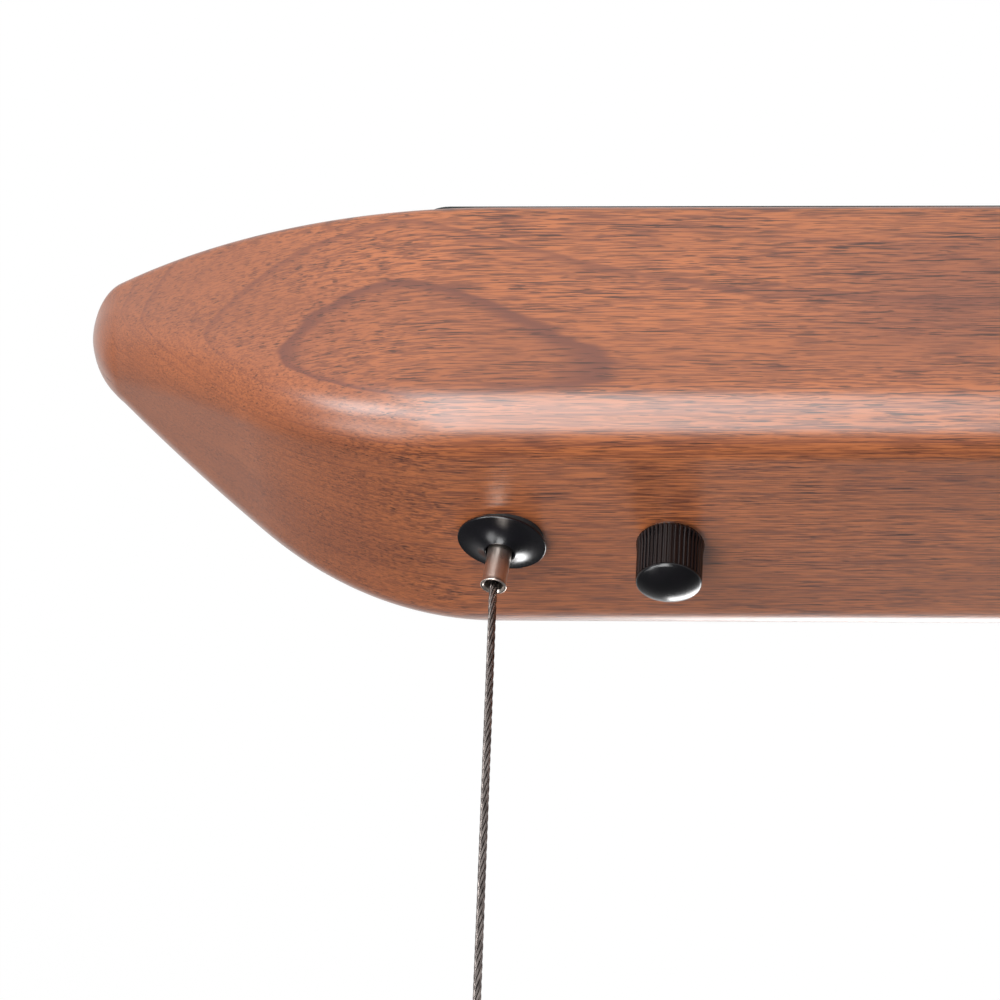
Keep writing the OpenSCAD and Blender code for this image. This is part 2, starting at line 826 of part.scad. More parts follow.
walnut_body();
ceiling_base_left();
ceiling_base_right();
ceiling_cap_left();
ceiling_cap_right();
cable_left();
cable_right();
cable_ball_left();
cable_ball_right();
gripper_flange_left();
gripper_flange_right();
gripper_seat_left();
gripper_seat_right();
gripper_barrel_left();
gripper_barrel_right();
gripper_washer_left();
gripper_washer_right();
gripper_nut_left();
gripper_nut_right();
gripper_plug_left();
gripper_plug_right();
gripper_spring_left();
gripper_spring_right();
plunger_left();
plunger_right();
clamp_balls_left();
clamp_balls_right();
ball_carrier_left();
ball_carrier_right();
knob();
dimmer_shaft();
dimmer_wiper();
dimmer_bushing();
dimmer_can();
dimmer_wafer();
dimmer_tags();
dimmer_nut();
dimmer_washer();
gland_body();
gland_bush();
gland_nut();
light_tray();
tray_end_left();
tray_end_right();
led_board();
led_chips();
diffuser();
tray_screws();
driver_case();
driver_lid();
driver_board();
driver_coil();
driver_caps();
fixing_screws();
terminal_block();
terminal_screws();
mains_lead();
dimmer_lead();
led_lead();
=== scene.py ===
"""A linear pendant lamp: a walnut bar with boat-shaped ends on two steel cables, seen upside down."""

import json
from math import acos, atan2, cos, degrees, pi, radians, sin, sqrt, tan

import bmesh
import bpy
from mathutils import Matrix, Vector


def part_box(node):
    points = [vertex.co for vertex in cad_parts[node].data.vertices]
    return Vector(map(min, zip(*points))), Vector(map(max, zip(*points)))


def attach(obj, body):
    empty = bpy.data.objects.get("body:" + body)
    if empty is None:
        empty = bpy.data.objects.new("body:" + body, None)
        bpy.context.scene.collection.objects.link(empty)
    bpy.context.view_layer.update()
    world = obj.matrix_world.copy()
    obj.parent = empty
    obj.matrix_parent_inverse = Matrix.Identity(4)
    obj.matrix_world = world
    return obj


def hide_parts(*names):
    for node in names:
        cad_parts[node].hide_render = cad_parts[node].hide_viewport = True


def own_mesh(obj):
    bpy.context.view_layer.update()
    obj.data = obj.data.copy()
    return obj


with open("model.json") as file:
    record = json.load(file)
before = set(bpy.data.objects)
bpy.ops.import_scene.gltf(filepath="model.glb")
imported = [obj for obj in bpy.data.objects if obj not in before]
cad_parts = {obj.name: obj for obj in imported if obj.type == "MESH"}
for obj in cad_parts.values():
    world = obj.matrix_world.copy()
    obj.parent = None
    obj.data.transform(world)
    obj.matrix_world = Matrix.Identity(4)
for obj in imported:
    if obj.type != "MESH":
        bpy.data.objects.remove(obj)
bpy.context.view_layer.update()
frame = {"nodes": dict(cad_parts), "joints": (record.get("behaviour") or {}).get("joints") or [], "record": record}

# Sizes, in metres, from the frame and from the sizes of the real lamp

MM = 0.001
BAR_LOW, BAR_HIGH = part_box("walnut_body")
TOP = BAR_HIGH.z
RIM = BAR_LOW.z
TIP_FLAT = 0.06 * MM
HALF_LENGTH = BAR_HIGH.x + TIP_FLAT
HALF_WIDTH = BAR_HIGH.y
HEIGHT = TOP - RIM
EDGE_RADIUS = 10 * MM
RIM_RADIUS = 2 * MM
BOW_RADIUS = 124 * MM
NOSE_RADIUS = 14 * MM
NOSE_HEIGHT = 12.4 * MM
RAKE = radians(36)
RAKE_RADIUS = 72 * MM
TIP_RADIUS = 14 * MM
UNDER_RADIUS = 6 * MM
CAVITY_IN = 68 * MM
WALL = 11 * MM
ROOF = 12 * MM
GLAND_HOLE = 5.1 * MM
DIMMER_HOLE = 3.6 * MM
GRIP_HOLE = 4.6 * MM
POCKET_RADIUS = 12 * MM
POCKET_ROOF = 5 * MM

GRIP_X = HALF_LENGTH - 79 * MM
GRIP_TILT = radians(6)
FLANGE_RADIUS = 8.1 * MM
FLANGE_HEIGHT = 2.6 * MM
FLANGE_LIFT = FLANGE_RADIUS * tan(GRIP_TILT) + 0.02 * MM
NECK_RADIUS = 2.9 * MM
PLUNGER_RADIUS = 2.2 * MM
PLUNGER_BORE = 1.7 * MM
MOUTH = FLANGE_LIFT + FLANGE_HEIGHT + 7.5 * MM
CLAMP = -10 * MM
CABLE_RADIUS = 0.75 * MM
CABLE_LEAN = radians(1.2)
CABLE_TAIL = 23 * MM
BALL_REACH = 1.5 * MM
SPRING_TOP = -13.05 * MM
SPRING_FOOT = -22.95 * MM
SPRING_WIRE = 0.25 * MM
SPRING_RADIUS = 2.5 * MM
SPRING_TURNS = 6
SIDES = {"left": -1, "right": 1}

KNOB = (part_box("knob")[0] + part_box("knob")[1]) / 2
KNOB_RADIUS = 6 * MM
KNOB_FLARE = 6.2 * MM
RIBS = 42


# Node trees

class Field:
    """A number that a node tree works out. Arithmetic on fields adds the nodes for it."""

    def __init__(self, tree, socket):
        self.tree = tree
        self.socket = socket

    def maths(self, operation, *values):
        node = self.tree.nodes.new("ShaderNodeMath")
        node.operation = operation
        for socket, value in zip(node.inputs, values):
            plug(self.tree, value, socket)
        return Field(self.tree, node.outputs[0])

    def __add__(self, other):
        return self.maths("ADD", self, other)

    def __radd__(self, other):
        return self.maths("ADD", other, self)

    def __sub__(self, other):
        return self.maths("SUBTRACT", self, other)

    def __rsub__(self, other):
        return self.maths("SUBTRACT", other, self)

    def __mul__(self, other):
        return self.maths("MULTIPLY", self, other)

    def __rmul__(self, other):
        return self.maths("MULTIPLY", other, self)

    def __truediv__(self, other):
        return self.maths("DIVIDE", self, other)

    def __pow__(self, other):
        return self.maths("POWER", self, other)

    def __mod__(self, other):
        return self.maths("FLOORED_MODULO", self, other)

    def __lt__(self, other):
        return self.maths("LESS_THAN", self, other)

    def __gt__(self, other):
        return self.maths("GREATER_THAN", self, other)

    def least(self, other):
        return self.maths("MINIMUM", self, other)

    def most(self, other):
        return self.maths("MAXIMUM", self, other)

    def root(self):
        return self.most(0.0).maths("SQRT", self.most(0.0))

    def cosine(self):
        return self.maths("COSINE", self)

    def sine(self):
        return self.maths("SINE", self)

    def floor(self):
        return self.maths("FLOOR", self)

    def round(self):
        return self.maths("ROUND", self)

    def size(self):
        return self.maths("ABSOLUTE", self)

    def exp(self):
        return self.maths("EXPONENT", self)

    def pick(self, yes, no):
        """yes where this field is 1, and no where it is 0."""
        return (yes - no) * self + no

    def rise(self, low, high):
        """0 up to low, 1 from high, and smooth between."""
        node = self.tree.nodes.new("ShaderNodeMapRange")
        node.interpolation_type = "SMOOTHSTEP"
        plug(self.tree, self, node.inputs["Value"])
        node.inputs["From Min"].default_value = low
        node.inputs["From Max"].default_value = high
        return Field(self.tree, node.outputs["Result"])


def plug(tree, value, socket):
    """Links a field or a socket to a node's input, or sets the input to a plain value."""
    if isinstance(value, Field):
        tree.links.new(value.socket, socket)
    elif isinstance(value, bpy.types.NodeSocket):
        tree.links.new(value, socket)
    else:
        socket.default_value = value


def add(tree, kind, inputs=None, **settings):
    """A new node with its settings and inputs, by name."""
    node = tree.nodes.new(kind)
    for key, value in settings.items():
        setattr(node, key, value)
    for name, value in (inputs or {}).items():
        plug(tree, value, node.inputs[name])
    return node


def split(tree, vector):
    """The three parts of a vector socket, as fields."""
    node = add(tree, "ShaderNodeSeparateXYZ", {0: vector})
    return [Field(tree, socket) for socket in node.outputs]


def join(tree, x, y, z):
    return add(tree, "ShaderNodeCombineXYZ", {0: x, 1: y, 2: z}).outputs[0]


def new_shape(name, sizes):
    """An empty geometry tree with named sizes. Returns the tree, its sizes as fields and its path."""
    tree = bpy.data.node_groups.new(name, "GeometryNodeTree")
    tree.interface.new_socket("Shape", in_out="OUTPUT", socket_type="NodeSocketGeometry")
    tree.interface.new_socket("Path", in_out="INPUT", socket_type="NodeSocketGeometry")
    for label in sizes:
        tree.interface.new_socket(label, in_out="INPUT", socket_type="NodeSocketFloat")
    entry = tree.nodes.new("NodeGroupInput")
    return tree, {label: Field(tree, entry.outputs[label]) for label in sizes}, entry.outputs["Path"]


def close_shape(tree, shape, material):
    """Ends a geometry tree: real mesh, one material."""
    real = add(tree, "GeometryNodeRealizeInstances", {"Geometry": shape})
    painted = add(tree, "GeometryNodeSetMaterial", {"Geometry": real.outputs[0], "Material": material})
    end = tree.nodes.new("NodeGroupOutput")
    tree.links.new(painted.outputs[0], end.inputs[0])
    return tree


def grow(name, tree, sizes, points=(), edges=()):
    """Runs a geometry tree over points and edges, and keeps the result as a plain mesh object."""
    mesh = bpy.data.meshes.new(name)
    mesh.from_pydata([tuple(p) for p in points], edges, [])
    piece = bpy.data.objects.new(name, mesh)
    bpy.context.scene.collection.objects.link(piece)
    modifier = piece.modifiers.new("shape", "NODES")
    modifier.node_group = tree
    for item in tree.interface.items_tree:
        if item.in_out == "INPUT" and item.name in sizes:
            modifier[item.identifier] = float(sizes[item.name])
    bpy.context.view_layer.update()
    evaluated = piece.evaluated_get(bpy.context.evaluated_depsgraph_get())
    piece.data = bpy.data.meshes.new_from_object(evaluated)
    piece.modifiers.clear()
    bpy.data.meshes.remove(mesh)
    return piece


def sweep_tube(tree, path, radius, sides):
    """A round tube along a path, with closed ends."""
    inputs = {"Resolution": sides, "Radius": radius}
    ring = add(tree, "GeometryNodeCurvePrimitiveCircle", inputs, mode="RADIUS")
    inputs = {"Curve": path, "Profile Curve": ring.outputs[0], "Fill Caps": True}
    return add(tree, "GeometryNodeCurveToMesh", inputs).outputs[0]


# Mesh helpers

def arc(x, z, radius, start, end, steps):
    """Points of an arc in a lathe's outline, with angles in degrees."""
    angles = [radians(start + (end - start) * i / steps) for i in range(steps + 1)]
    return [(x + radius * cos(a), z + radius * sin(a)) for a in angles]


def smooth(piece, angle=30):
    """Smooth shading, with edges sharper than the angle kept."""
    piece.data.polygons.foreach_set("use_smooth", [True] * len(piece.data.polygons))
    piece.data.set_sharp_from_angle(angle=radians(angle))
    return piece


def millimetres(outline):
    """An outline written in millimetres, in metres."""
    return [(r * MM, z * MM) for r, z in outline]


def lathe(name, outline, material, place, segments=128):
    """A turned piece. The outline, a list of (radius, height), is closed into a ring."""
    mesh = bmesh.new()
    turns = [2 * pi * i / segments for i in range(segments)]
    rings = []
    for radius, height in outline:
        if radius == 0:
            rings.append([mesh.verts.new((0, 0, height))] * segments)
        else:
            rings.append([mesh.verts.new((radius * cos(t), radius * sin(t), height)) for t in turns])
    for low, high in zip(rings, rings[1:] + rings[:1]):
        for i in range(segments):
            k = (i + 1) % segments
            corners = list(dict.fromkeys((low[i], low[k], high[k], high[i])))
            if len(corners) > 2:
                mesh.faces.new(corners)
    bmesh.ops.recalc_face_normals(mesh, faces=mesh.faces)
    mesh.transform(place)
    data = bpy.data.meshes.new(name)
    mesh.to_mesh(data)
    mesh.free()
    data.materials.append(material)
    piece = bpy.data.objects.new(name, data)
    bpy.context.scene.collection.objects.link(piece)
    return smooth(piece)


def merge(piece, other):
    """Adds another piece's mesh to a piece."""
    mesh = bmesh.new()
    mesh.from_mesh(piece.data)
    mesh.from_mesh(other.data)
    mesh.to_mesh(piece.data)
    mesh.free()
    bpy.data.objects.remove(other)
    return smooth(piece)


def dress(piece, body, slot, *nodes):
    """Puts a finished piece on its body, in place of these nodes."""
    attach(piece, body)
    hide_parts(*nodes)


# Materials

def colour(red, green, blue):
    """A colour given as it shows on screen, 0 to 255, as linear light."""
    parts = [c / 255 for c in (red, green, blue)]
    return [c / 12.92 if c <= 0.04045 else ((c + 0.055) / 1.055) ** 2.4 for c in parts] + [1.0]


def new_material(name):
    material = bpy.data.materials.new(name)
    material.use_nodes = True
    tree = material.node_tree
    place = add(tree, "ShaderNodeTexCoord").outputs["Object"]
    return material, tree, place, tree.nodes["Principled BSDF"]


def noise(tree, place, size, detail=2.0, roughness=0.5):
    """Noise from 0 to 1 with lumps of about this size along x, y and z, in millimetres."""
    scale = [1 / (s * MM) for s in size]
    mapped = add(tree, "ShaderNodeMapping", {"Vector": place, "Scale": scale})
    settings = {"Vector": mapped.outputs[0], "Scale": 1.0, "Detail": detail, "Roughness": roughness}
    return Field(tree, add(tree, "ShaderNodeTexNoise", settings).outputs[0])


def mix(tree, share, first, second):
    """A colour between two colours."""
    node = add(tree, "ShaderNodeMix", data_type="RGBA")
    plug(tree, share, node.inputs[0])
    plug(tree, first, node.inputs[6])
    plug(tree, second, node.inputs[7])
    return node.outputs[2]


def relief(tree, shader, height, depth):
    """Small bumps, with depth in millimetres."""
    inputs = {"Height": height, "Distance": depth * MM, "Strength": 1.0}
    plug(tree, add(tree, "ShaderNodeBump", inputs).outputs[0], shader.inputs["Normal"])


GLOSS_GRAIN = (0.4, 0.4, 0.4)


def finish(name, light, dark, rough, lump, metal=0.0, depth=0.01):
    """A plain made finish: two near colours in clouds, a fine grain in the gloss and a slight relief."""
    material, tree, place, shader = new_material(name)
    clouds = noise(tree, place, lump, 3.0)
    grain = noise(tree, place, GLOSS_GRAIN)
    shade = mix(tree, clouds.rise(0.3, 0.7), colour(*light), colour(*dark))
    plug(tree, shade, shader.inputs["Base Color"])
    plug(tree, grain * (0.3 * rough) + clouds * (0.2 * rough) + 0.75 * rough, shader.inputs["Roughness"])
    shader.inputs["Metallic"].default_value = metal
    relief(tree, shader, grain, depth)
    return material


# The walnut's figure, in millimetres

HEART_X = 239
HEART_Z = RIM / MM + 31
RING = 2.4
RING_START = -32.4
SMUDGE_X = 140
SMUDGE_Z = RIM / MM + 24
SMUDGE_LENGTH = 22.0
SMUDGE_HEIGHT = 15.0
BOW_REACH = 77
LEAST_HALF_WIDTH = 12.0


def follow_bow(tree, place):
    """A point's x, y and z in millimetres, with y stretched so that the grain follows the bowed sides."""
    x, across, z = [part / MM for part in split(tree, place)]
    bow, half = BOW_RADIUS / MM, HALF_WIDTH / MM
    bent = (x.size() - (HALF_LENGTH / MM - BOW_REACH)).most(0.0)
    width = (half - bow + (bow * bow - bent * bent).root()).most(LEAST_HALF_WIDTH)
    y = across * half / width
    grain = join(tree, x * MM, (across + y) * (MM / 2), z * MM)
    return x, y, z, grain


def growth_rings(tree, x, y, z, grain, fibre):
    """Each point's place within its ring, 0 to 1, and how dark that ring's line is."""
    drift = noise(tree, grain, (60, 14, 14)) - 0.5
    ripple = noise(tree, grain, (12, 2.4, 2.4)) - 0.5
    along = x.size() - HEART_X
    soft = (along * along + 49.0).root()
    far = (soft + along) / 2.0
    near = (soft - along) / 2.0
    slope = 1.0 - ((near / 42.0) ** 1.3 * -1.0).exp()
    hill = far * 0.052 + (far / 40.0) ** 4.0 * 1.5 + slope * 2.45
    rise = (z - HEART_Z - (1.0 - (near / -30.0).exp()) * 9.0).size()
    depth = y + rise ** 1.75 / 99.5 + hill + drift * 0.4 + ripple * 0.3 + fibre * 0.08
    turn = (depth - RING_START) / RING
    number = turn.floor()
    chance = add(tree, "ShaderNodeTexWhiteNoise", {"W": number}, noise_dimensions="1D")
    first = 1.0 - (number + 1.0).size()
    weight = (Field(tree, chance.outputs["Value"]) * 0.8 + 0.15).most(first)
    return turn - number, weight


def walnut():
    """Oiled walnut: growth rings that open into a cathedral on the sides, pores, fibres, a satin coat."""
    material, tree, place, shader = new_material("walnut")
    x, y, z, grain = follow_bow(tree, place)
    fibre = noise(tree, grain, (8, 0.34, 0.34), roughness=0.6)
    ring, weight = growth_rings(tree, x, y, z, grain, fibre)
    pores = noise(tree, grain, (9, 0.28, 0.28), 1.0).rise(0.6, 0.68)
    ticks = noise(tree, grain, (4, 0.24, 0.24), 1.0).rise(0.62, 0.7)
    patch = noise(tree, grain, (34, 5, 5)).rise(0.3, 0.65)
    cloud = noise(tree, grain, (90, 20, 20)).rise(0.3, 0.7)
    facing = split(tree, add(tree, "ShaderNodeNewGeometry").outputs["Normal"])[0].size()
    plain = (1.0 - facing.rise(0.05, 0.5) * 0.35) * (patch * 0.5 + 0.7)
    reach = (x.size() - SMUDGE_X) / SMUDGE_LENGTH
    level = (z - SMUDGE_Z) / SMUDGE_HEIGHT
    smudge = (reach * reach * -1.0 - level * level).exp()
    late = ring.rise(0.8, 0.94) * (1.0 - ring.rise(0.95, 1.0)) * weight
    layers = [
        ((smudge * 0.55).most(facing.rise(0.05, 0.4) * 0.36), colour(104, 58, 42)),
        (ring.rise(0.25, 1.0) * (1.0 - ring.rise(0.96, 1.0)) * weight * 0.2, colour(96, 50, 36)),
        (late * (1.0 - facing.rise(0.3, 0.6) * 0.5) * 0.85, colour(86, 46, 36)),
        (fibre.rise(0.43, 0.59) * plain * 0.78, colour(94, 51, 35)),
        (pores.most(ticks * 0.8) * plain * 0.9, colour(54, 28, 21)),
    ]
    wood = mix(tree, cloud, colour(152, 88, 50), colour(134, 76, 43))
    for share, darker in layers:
        wood = mix(tree, share, wood, darker)
    plug(tree, wood, shader.inputs["Base Color"])
    plug(tree, fibre * 0.1 + pores * 0.1 + 0.45, shader.inputs["Roughness"])
    shader.inputs["Specular IOR Level"].default_value = 0.1
    shader.inputs["Coat Weight"].default_value = 1.0
    shader.inputs["Coat IOR"].default_value = 1.6
    shader.inputs["Coat Roughness"].default_value = 0.32
    relief(tree, shader, fibre * 0.35 - pores, 0.015)
    return material


def turned_nickel():
    """Bright plated tube with faint turning marks round it."""
    material, tree, place, shader = new_material("nickel")
    marks = noise(tree, place, (30, 30, 0.05), 2.0)
    film = noise(tree, place, (1.5, 1.5, 1.5), 3.0)
    plug(tree, mix(tree, film, colour(226, 216, 208), colour(196, 184, 174)), shader.inputs["Base Color"])
    plug(tree, marks * 0.12 + film * 0.08 + 0.2, shader.inputs["Roughness"])
    shader.inputs["Metallic"].default_value = 1.0
    relief(tree, shader, marks, 0.002)
    return material


# Plain finishes: light and dark colour, roughness, size of the clouds, metal and relief

PLAIN_FINISHES = {
    "black_metal": ((9, 8, 12), (6, 6, 9), 0.25, (2, 2, 2), 0.0, 0.002),
    "zinc_steel": ((196, 198, 200), (160, 163, 168), 0.34, (1.5, 1.5, 1.5), 1.0),
    "cable_steel": ((144, 136, 132), (88, 82, 80), 0.28, (0.6, 0.6, 2), 1.0),
    "brass": ((206, 170, 98), (176, 138, 74), 0.3, (2, 2, 2), 1.0),
    "spring_steel": ((170, 172, 176), (126, 128, 133), 0.25, (1, 1, 1), 1.0),
    "black_gloss": ((9, 8, 11), (6, 6, 8), 0.24, (3, 3, 3), 0.0, 0.002),
    "die_cast": ((190, 190, 192), (158, 158, 160), 0.42, (0.8, 0.8, 0.8), 1.0),
    "phenolic": ((140, 92, 52), (112, 70, 38), 0.55, (2, 0.3, 2)),
    "rubber": ((30, 30, 31), (16, 16, 18), 0.75, (1, 1, 1), 0.0, 0.03),
    "black_plastic": ((32, 32, 34), (22, 22, 24), 0.5, (3, 3, 3), 0.0, 0.02),
    "tray_black": ((58, 60, 59), (44, 46, 46), 0.4, (40, 0.4, 0.4), 0.6),
    "board_white": ((236, 236, 230), (222, 223, 218), 0.4, (4, 4, 4)),
    "phosphor": ((240, 214, 90), (226, 190, 60), 0.3, (1, 1, 1)),
    "opal": ((240, 240, 236), (230, 231, 228), 0.45, (12, 12, 12), 0.0, 0.004),
    "driver_white": ((228, 227, 220), (214, 213, 206), 0.5, (3, 3, 3), 0.0, 0.03),
    "board_green": ((34, 104, 62), (20, 78, 44), 0.35, (2.5, 0.8, 2)),
    "coil_tape": ((222, 186, 74), (198, 158, 50), 0.3, (8, 8, 0.8)),
    "cap_sleeve": ((40, 40, 58), (28, 28, 44), 0.25, (3, 3, 6)),
    "red_lead": ((170, 34, 30), (146, 26, 24), 0.4, (4, 4, 4)),
}


def make_materials():
    """The finish for each material slot of the record."""
    plain = {slot: finish(slot, *look) for slot, look in PLAIN_FINISHES.items()}
    return {"walnut": walnut(), "nickel": turned_nickel(), **plain}


# Camera, light and floor

VIEW_DOWN = radians(35.25)
VIEW_YAW = radians(5.0)
VIEW_ROLL = radians(0.16)
VIEW_DISTANCE = 1.0
PIXELS_PER_METRE = 5530
FRAME_PIXELS = 1000
SENSOR = 36
GRIP_PIXEL = (502.7, 537.0)


def aim_camera():
    """The photographed view: from above the lamp and in front of it, with the camera upside down."""
    flat_right = Vector((-1, 0, 0))
    up = Vector((0, -sin(VIEW_DOWN), -cos(VIEW_DOWN)))
    level = Vector((0, cos(VIEW_DOWN), -sin(VIEW_DOWN)))
    right = cos(VIEW_YAW) * flat_right + sin(VIEW_YAW) * level
    look = cos(VIEW_YAW) * level - sin(VIEW_YAW) * flat_right
    right, up = (
        cos(VIEW_ROLL) * right + sin(VIEW_ROLL) * up,
        cos(VIEW_ROLL) * up - sin(VIEW_ROLL) * right,
    )
    across, down = [(p - FRAME_PIXELS / 2) / PIXELS_PER_METRE for p in GRIP_PIXEL]
    eye = Vector((GRIP_X, 0, TOP)) - across * right + down * up - VIEW_DISTANCE * look
    data = bpy.data.cameras.new("camera")
    data.sensor_width = SENSOR
    data.lens = PIXELS_PER_METRE * VIEW_DISTANCE / FRAME_PIXELS * SENSOR
    camera = bpy.data.objects.new("camera", data)
    turn = Matrix((right, up, -look)).transposed().to_4x4()
    camera.matrix_world = Matrix.Translation(eye) @ turn
    bpy.context.scene.collection.objects.link(camera)
    bpy.context.scene.camera = camera


def add_lamp(name, target, direction, distance, size, power):
    """A rectangular soft light that faces the target."""
    data = bpy.data.lights.new(name, "AREA")
    data.shape = "RECTANGLE"
    data.size, data.size_y = size
    data.energy = power
    lamp = bpy.data.objects.new(name, data)
    away = Vector(direction).normalized()
    lamp.location = Vector(target) + distance * away
    lamp.rotation_mode = "QUATERNION"
    lamp.rotation_quaternion = away.to_track_quat("Z", "Y")
    bpy.context.scene.collection.objects.link(lamp)


def seen_rays(tree):
    """1 for rays that show the background itself: straight to the camera, or in metal and glass."""
    rays = add(tree, "ShaderNodeLightPath").outputs
    seen = [Field(tree, rays[k]) for k in ("Is Camera Ray", "Is Glossy Ray", "Is Transmission Ray")]
    return seen[0].most(seen[1]).most(seen[2])


FLOOR_DROP = 0.55
FLOOR_HALF = 6.0
FLOOR_SHOWN = 0.99
WALL_LIGHT = 0.35
WALL_TOP = 0.55
CEILING_LIGHT = 0.1


def set_room():
    """White walls that darken towards a dim ceiling."""
    scene = bpy.context.scene
    scene.view_settings.view_transform = "Standard"
    world = bpy.data.worlds.new("studio")
    scene.world = world
    world.use_nodes = True
    tree = world.node_tree
    glow = tree.nodes["Background"]
    glow.inputs["Color"].default_value = (1, 1, 1, 1)
    height = split(tree, add(tree, "ShaderNodeTexCoord").outputs["Generated"])[2]
    strength = WALL_LIGHT - height.rise(0.0, WALL_TOP) * (WALL_LIGHT - CEILING_LIGHT)
    plug(tree, strength, glow.inputs["Strength"])


def lay_floor():
    """A pale floor below the lamp, which shows as white."""
    material, tree, place, shader = new_material("floor")
    pale = mix(tree, noise(tree, place, (300, 300, 300)), colour(244, 244, 243), colour(250, 250, 249))
    plug(tree, pale, shader.inputs["Base Color"])
    shader.inputs["Roughness"].default_value = 0.9
    white = add(tree, "ShaderNodeEmission")
    white.inputs["Color"].default_value = (1, 1, 1, 1)
    inputs = {0: seen_rays(tree) * FLOOR_SHOWN, 1: shader.outputs[0], 2: white.outputs[0]}
    blend = add(tree, "ShaderNodeMixShader", inputs)
    tree.links.new(blend.outputs[0], tree.nodes["Material Output"].inputs["Surface"])
    level = RIM - FLOOR_DROP
    signs = ((-1, -1), (1, -1), (1, 1), (-1, 1))
    mesh = bpy.data.meshes.new("floor")
    mesh.from_pydata([(i * FLOOR_HALF, k * FLOOR_HALF, level) for i, k in signs], [], [(0, 1, 2, 3)])
    mesh.materials.append(material)
    floor = bpy.data.objects.new("floor", mesh)
    bpy.context.scene.collection.objects.link(floor)


def set_lamps():
    """Soft studio light round the end of the bar that the photographed view shows."""
    end = (GRIP_X, 0, (TOP + RIM) / 2)
    add_lamp("key", end, (0.64, -0.61, 0.45), 1.3, (0.6, 0.4), 9.5)
    add_lamp("strip", end, (0.18, -0.95, 0.27), 1.2, (0.56, 0.9), 14.5)
    add_lamp("middle", end, (0.18, -0.58, 0.81), 1.2, (0.56, 0.75), 11.5)
    add_lamp("left", end, (0.6, -0.12, 0.79), 1.2, (0.5, 0.5), 4.0)
    add_lamp("back", end, (-0.3, 0.95, 0.08), 1.4, (1.0, 0.5), 14.0)


# Cables

def grip_place(side):
    """The leaning axis of a gripper, with its origin on the top face."""
    return Matrix.Translation((side * GRIP_X, 0, TOP)) @ Matrix.Rotation(side * GRIP_TILT, 4, "Y")


def cable_route(name, side):
    """A cable's route: up the gripper, a short bend at its mouth, then straight to the ball in the cup."""
    bend, steps = 4 * MM, 4
    place = grip_place(side)
    points = [place @ Vector((0, 0, h)) for h in (CLAMP - CABLE_TAIL, CLAMP, MOUTH - bend / 2)]
    for i in range(steps):
        lean = side * (GRIP_TILT - (GRIP_TILT + CABLE_LEAN) * (i + 0.5) / steps)
        points.append(points[-1] + bend / steps * Vector((sin(lean), 0, cos(lean))))
    low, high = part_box(f"cable_ball_{name}")
    ball = (low + high) / 2
    points.append(ball + BALL_REACH * Vector((-side * sin(CABLE_LEAN), 0, cos(CABLE_LEAN))))
    return points, ball


def travel_of(joint):
    """How far a sliding joint goes, in metres."""
    return next(j["range_m"][1] for j in frame["joints"] if j["name"] == joint)


def laid_wire(name, material, strands, cored=False):
    """Wires laid in a helix along a path, round a straight core if there is one."""
    tree, size, path = new_shape(name, ["Wire", "Orbit", "Lay", "Step"])
    line = add(tree, "GeometryNodeMeshToCurve", {"Mesh": path})
    fine = add(tree, "GeometryNodeResampleCurve", {"Curve": line.outputs[0]}, mode="LENGTH")
    plug(tree, size["Step"], fine.inputs["Length"])
    inputs = {"Geometry": fine.outputs[0], "Amount": strands}
    copies = add(tree, "GeometryNodeDuplicateElements", inputs, domain="SPLINE")
    run = Field(tree, add(tree, "GeometryNodeSplineParameter").outputs["Length"])
    start = Field(tree, copies.outputs["Duplicate Index"]) * (2 * pi / strands)
    angle = run / size["Lay"] * (2 * pi) + start
    normal = add(tree, "GeometryNodeInputNormal").outputs[0]
    tangent = add(tree, "GeometryNodeInputTangent").outputs[0]
    side = add(tree, "ShaderNodeVectorMath", {0: tangent, 1: normal}, operation="CROSS_PRODUCT").outputs[0]
    arms = []
    for way, turn in ((normal, angle.cosine()), (side, angle.sine())):
        inputs = {0: way, "Scale": turn * size["Orbit"]}
        arms.append(add(tree, "ShaderNodeVectorMath", inputs, operation="SCALE").outputs[0])
    offset = add(tree, "ShaderNodeVectorMath", {0: arms[0], 1: arms[1]}, operation="ADD").outputs[0]
    moved = add(tree, "GeometryNodeSetPosition", {"Geometry": copies.outputs[0], "Offset": offset})
    both = add(tree, "GeometryNodeJoinGeometry")
    for curve in [moved] + ([fine] if cored else []):
        tree.links.new(sweep_tube(tree, curve.outputs[0], size["Wire"], 8), both.inputs[0])
    return close_shape(tree, both.outputs[0], material)


def make_cables(finishes):
    """Six strands laid round a straight one, from the gripper to the ball in the ceiling cup."""
    tree = laid_wire("stranded_cable", finishes["cable_steel"], 6, cored=True)
    strand = CABLE_RADIUS / 3
    sizes = {"Wire": strand, "Orbit": 2 * strand, "Lay": 12 * MM, "Step": 0.6 * MM}
    travel = travel_of("height")
    for name, side in SIDES.items():
        points, ball = cable_route(name, side)
        edges = [(i, i + 1) for i in range(len(points) - 1)]
        cable = smooth(grow(f"stranded_cable_{name}", tree, sizes, points, edges), 60)
        dress(cable, "suspension", "cable_steel", f"cable_{name}")
        length = sum((b - a).length for a, b in zip(points, points[1:]))
        hang = ball.z - (TOP + CLAMP * cos(GRIP_TILT))
        (hang - travel) / hang
        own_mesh(cable)


